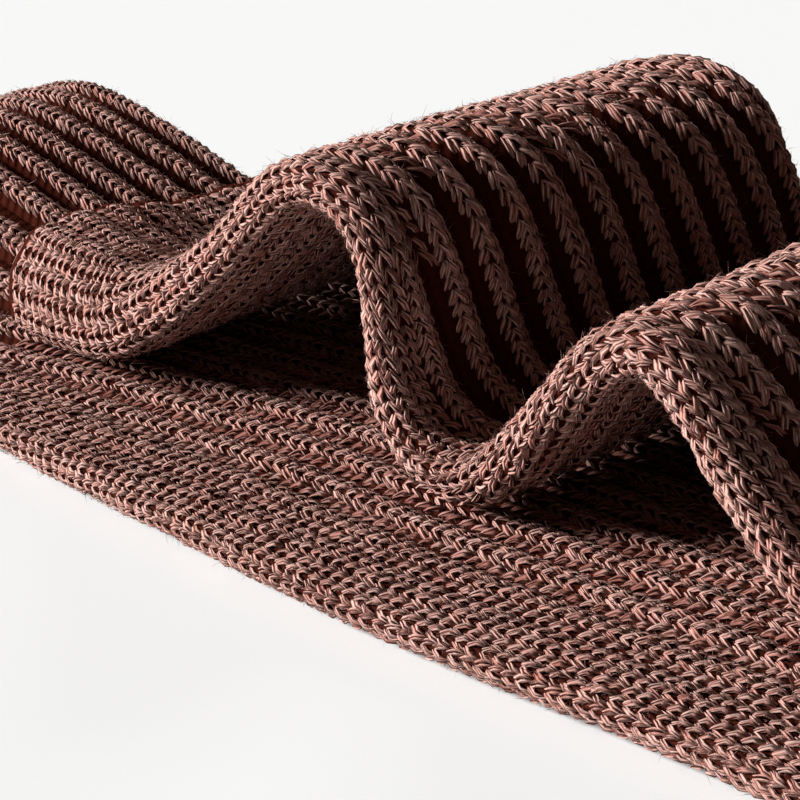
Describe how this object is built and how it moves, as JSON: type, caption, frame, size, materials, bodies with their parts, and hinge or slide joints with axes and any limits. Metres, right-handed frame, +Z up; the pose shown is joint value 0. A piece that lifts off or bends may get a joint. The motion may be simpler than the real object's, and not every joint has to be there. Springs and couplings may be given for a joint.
{
  "type": "pair of calf socks",
  "caption": "Pair of long rib-knit calf socks pressed flat, one lying on the floor and the other lying on it with its leg pushed into soft upright waves.",
  "frame": {"origin": "on the floor, at the middle of the pair's outline seen from above", "axes": "+X runs along the legs from the cuffs towards the heels, +Y across the legs towards the side that the feet point to, +Z up"},
  "size_m": [0.4114, 0.2366, 0.0388],
  "materials": {
    "lower_knit": "soft brown rib-knit wool, matt with a light nap",
    "upper_knit": "soft brown rib-knit wool, matt with a light nap"
  },
  "bodies": {
    "root": {"sock_lower": "lower_knit", "sock_upper": "upper_knit"}
  },
  "joints": []
}
